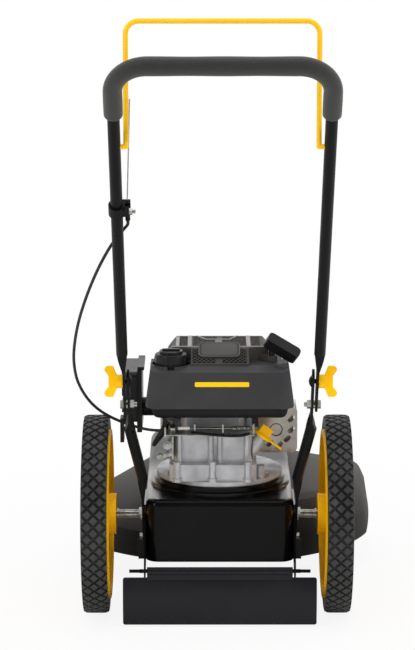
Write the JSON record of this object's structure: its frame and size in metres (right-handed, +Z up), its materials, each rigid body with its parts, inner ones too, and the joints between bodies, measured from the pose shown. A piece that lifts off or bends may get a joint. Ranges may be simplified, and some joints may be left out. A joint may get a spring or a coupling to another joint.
{
  "type": "wheeled string trimmer",
  "caption": "Walk-behind string trimmer with large wheels, pressed-steel deck, petrol engine, side guards, a folding tube handle with a wire bail, and a line head on a glide cup.",
  "frame": {"origin": "middle of the object's bounding box, on the ground", "axes": "+X to the operator's right, +Y forward in the direction of travel, +Z up"},
  "size_m": [0.548, 1.3497, 1.114],
  "materials": {
    "deck_black": "semi-gloss black enamel",
    "frame_black": "satin black powder coat",
    "guard_grey": "moulded, dark grey",
    "cover_grey": "moulded, satin dark grey",
    "plastic_black": "moulded, black",
    "zinc": "zinc plated",
    "alloy": "die cast",
    "heat_steel": "plain pressed steel",
    "tyre_black": "solid rubber with diamond blocks",
    "wheel_yellow": "moulded, warm yellow",
    "bail_yellow": "warm yellow powder coat",
    "knob_yellow": "moulded, warm yellow",
    "foam": "closed foam sleeve",
    "rubber_black": "matt rubber",
    "line_orange": "nylon line"
  },
  "bodies": {
    "frame": {"deck": "deck_black", "left_guard": "guard_grey", "right_guard": "guard_grey", "side_plates": "deck_black", "lower_handles": "frame_black", "axles": "zinc", "flap_rod": "frame_black", "spindle_bridge": "deck_black", "spindle_housing": "alloy", "spindle_bearings": "zinc", "deck_bolts": "zinc", "pivot_bolts": "zinc", "sump_flange": "alloy", "crankcase": "alloy", "engine_cylinder": "alloy", "valve_cover": "alloy", "spark_plug": "zinc", "plug_boot": "rubber_black", "fuel_tank": "cover_grey", "blower_housing": "cover_grey", "starter_cover": "cover_grey", "air_filter_base": "plastic_black", "air_filter_cover": "plastic_black", "carburettor": "alloy", "muffler": "heat_steel", "muffler_guard": "heat_steel", "oil_filler_tube": "alloy", "fuel_hose": "rubber_black", "control_bracket": "zinc", "governor_spring": "zinc", "governor_link": "zinc", "drive_belt": "rubber_black", "control_cable": "rubber_black", "starter_rope": "rubber_black"},
    "upper_handle": {"upper_handle": "frame_black", "grip": "foam", "cable_bracket": "frame_black", "bracket_bolt": "zinc", "lock_bolts": "frame_black", "bail_wire": "zinc"},
    "bail": {"bail": "bail_yellow"},
    "left_knob": {"left_knob": "knob_yellow"},
    "right_knob": {"right_knob": "knob_yellow"},
    "left_wheel": {"left_tyre": "tyre_black", "left_rim": "wheel_yellow"},
    "right_wheel": {"right_tyre": "tyre_black", "right_rim": "wheel_yellow"},
    "flap": {"rear_flap": "rubber_black"},
    "crank": {"crankshaft": "zinc", "flywheel": "alloy", "engine_pulley": "zinc"},
    "head": {"spindle_shaft": "zinc", "spindle_pulley": "zinc", "trimmer_head": "plastic_black", "trimmer_lines": "line_orange"},
    "glide_cup": {"glide_cup": "plastic_black"},
    "fuel_cap": {"fuel_cap": "plastic_black"},
    "dipstick": {"dipstick": "knob_yellow"},
    "starter": {"starter_handle": "plastic_black"},
    "brake": {"brake_lever": "zinc"}
  },
  "joints": [
    {"name": "left_wheel_spin", "type": "hinge", "parent": "frame", "child": "left_wheel", "pos_m": [-0.2425, 0.06046, 0.178], "axis": [1, 0, 0], "continuous": true},
    {"name": "right_wheel_spin", "type": "hinge", "parent": "frame", "child": "right_wheel", "pos_m": [0.1885, 0.06046, 0.178], "axis": [1, 0, 0], "continuous": true},
    {"name": "handle_fold", "type": "hinge", "parent": "frame", "child": "upper_handle", "pos_m": [-0.022, -0.17677, 0.433], "axis": [-1, 0, 0], "range_deg": [0, 105], "deforming": ["control_cable"]},
    {"name": "bail_close", "type": "hinge", "parent": "upper_handle", "child": "bail", "pos_m": [-0.022, -0.55725, 0.91999], "axis": [1, 0, 0], "range_deg": [0, 29], "stiffness_Nm_per_rad": 0.6, "springref_deg": -28.65, "deforming": ["bail_wire"]},
    {"name": "left_knob_turn", "type": "hinge", "parent": "upper_handle", "child": "left_knob", "pos_m": [-0.197, -0.21432, 0.48107], "axis": [-1, 0, 0], "continuous": true},
    {"name": "right_knob_turn", "type": "hinge", "parent": "upper_handle", "child": "right_knob", "pos_m": [0.153, -0.21432, 0.48107], "axis": [1, 0, 0], "continuous": true},
    {"name": "flap_swing", "type": "hinge", "parent": "frame", "child": "flap", "pos_m": [-0.022, -0.05154, 0.103], "axis": [-1, 0, 0], "range_deg": [-15, 75]},
    {"name": "crank_spin", "type": "hinge", "parent": "frame", "child": "crank", "pos_m": [-0.022, 0.11046, 0.188], "axis": [0, 0, 1], "continuous": true},
    {"name": "head_spin", "type": "hinge", "parent": "frame", "child": "head", "pos_m": [-0.022, 0.47546, 0.188], "axis": [0, 0, 1], "continuous": true},
    {"name": "glide_cup_spin", "type": "hinge", "parent": "head", "child": "glide_cup", "pos_m": [-0.022, 0.47546, 0.03], "axis": [0, 0, 1], "continuous": true},
    {"name": "fuel_cap_turn", "type": "hinge", "parent": "frame", "child": "fuel_cap", "pos_m": [-0.108, 0.01546, 0.464], "axis": [0, 0, 1], "range_deg": [0, 90]},
    {"name": "dipstick_turn", "type": "hinge", "parent": "frame", "child": "dipstick", "pos_m": [0.053, 0.03846, 0.326], "axis": [0.5878, 0, 0.809], "range_deg": [0, 90]},
    {"name": "starter_pull", "type": "slide", "parent": "frame", "child": "starter", "axis": [0, -0.8486, 0.5291], "range_m": [0, 0.6], "stiffness_N_per_m": 15, "springref_m": -0.2, "deforming": ["starter_rope"]},
    {"name": "brake_swing", "type": "hinge", "parent": "frame", "child": "brake", "pos_m": [-0.1055, 0.02246, 0.342], "axis": [0, 0, -1], "range_deg": [0, 16]}
  ],
  "couplings": [
    {"joint": "head_spin", "follows": "crank_spin", "ratio": 0.66667},
    {"joint": "brake_swing", "follows": "bail_close", "ratio": 0.53}
  ]
}
